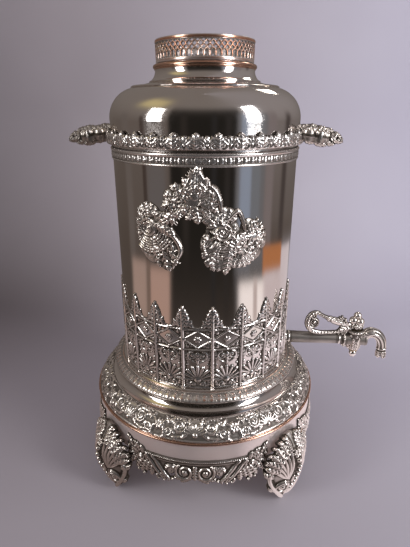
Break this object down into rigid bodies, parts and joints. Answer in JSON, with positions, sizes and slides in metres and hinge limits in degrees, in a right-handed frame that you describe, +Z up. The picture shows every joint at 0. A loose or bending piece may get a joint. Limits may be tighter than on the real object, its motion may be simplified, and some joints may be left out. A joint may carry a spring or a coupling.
{
  "type": "samovar",
  "caption": "Silver-plated samovar: tall round urn on a footed base, domed cover with scroll handles, pierced crown and a lever tap.",
  "frame": {"origin": "on the vessel's upright axis, at the plane that the four feet rest on", "axes": "+Z up along the fire tube, +X along the tap, -Y the front with its cartouche"},
  "size_m": [0.3567, 0.2708, 0.4691],
  "materials": {
    "silver_base": "polished silver plate with chased relief",
    "silver_collar": "stamped silver plate, tarnished in the recesses",
    "copper_wear": "silver plate worn to the copper",
    "silver_cast": "cast silver plate, tarnished in the recesses",
    "silver_feet": "cast silver plate",
    "brass_inside": "plain brass, inside",
    "steel": "plain steel",
    "iron": "sooty iron",
    "silver_body": "mirror polished silver plate",
    "silver_bands": "stamped silver plate",
    "silver_arcade": "stamped silver plate, tarnished in the recesses",
    "silver_cartouche": "cast and chased silver plate",
    "silver_dome": "mirror polished silver plate",
    "silver_handles": "cast silver plate",
    "silver_gallery": "pierced silver plate, copper at the edges",
    "silver_tap": "cast silver plate",
    "silver_key": "cast silver plate",
    "rubber": "matt washer"
  },
  "bodies": {
    "vessel": {"base_shell": "silver_base", "base_collar": "silver_collar", "base_edge_wire": "copper_wear", "apron_front": "silver_cast", "apron_right": "silver_cast", "apron_back": "silver_cast", "apron_left": "silver_cast", "foot_front_left": "silver_feet", "foot_front_right": "silver_feet", "foot_back_left": "silver_feet", "foot_back_right": "silver_feet", "base_plate": "brass_inside", "base_bolts": "steel", "foot_screws": "steel", "ash_box": "iron", "body_shell": "silver_body", "vessel_bottom": "brass_inside", "fire_tube": "brass_inside", "fire_grate": "iron", "rim_band": "silver_bands", "arcade_border": "silver_arcade", "cartouche_front": "silver_cartouche", "cartouche_back": "silver_cartouche", "tap_flange": "silver_tap", "tap_washer": "rubber", "tap_locknut": "brass_inside", "tap_tube": "silver_tap", "tap_body": "silver_tap", "spout": "silver_tap"},
    "lid": {"lid_dome": "silver_dome", "lid_flange": "silver_dome", "leaf_border": "silver_bands", "handle_left": "silver_handles", "handle_right": "silver_handles", "neck_bead": "copper_wear"},
    "crown": {"gallery_ring": "silver_gallery", "crown_floor": "silver_gallery"},
    "flue_cap": {"flue_cap": "silver_dome", "flue_knob": "silver_dome"},
    "tap_key": {"tap_plug": "brass_inside", "tap_lever": "silver_key", "tap_knob": "silver_key", "plug_washer": "brass_inside", "plug_nut": "silver_key"}
  },
  "joints": [
    {"name": "lid_lift", "type": "slide", "parent": "vessel", "child": "lid", "axis": [0, 0, 1], "range_m": [0, 0.12]},
    {"name": "crown_lift", "type": "slide", "parent": "lid", "child": "crown", "axis": [0, 0, 1], "range_m": [0, 0.03]},
    {"name": "flue_cap_lift", "type": "slide", "parent": "vessel", "child": "flue_cap", "axis": [0, 0, 1], "range_m": [0, 0.06]},
    {"name": "tap_turn", "type": "hinge", "parent": "vessel", "child": "tap_key", "pos_m": [0.181, 0, 0.15], "axis": [0, 0, 1], "range_deg": [-8, 82]}
  ]
}
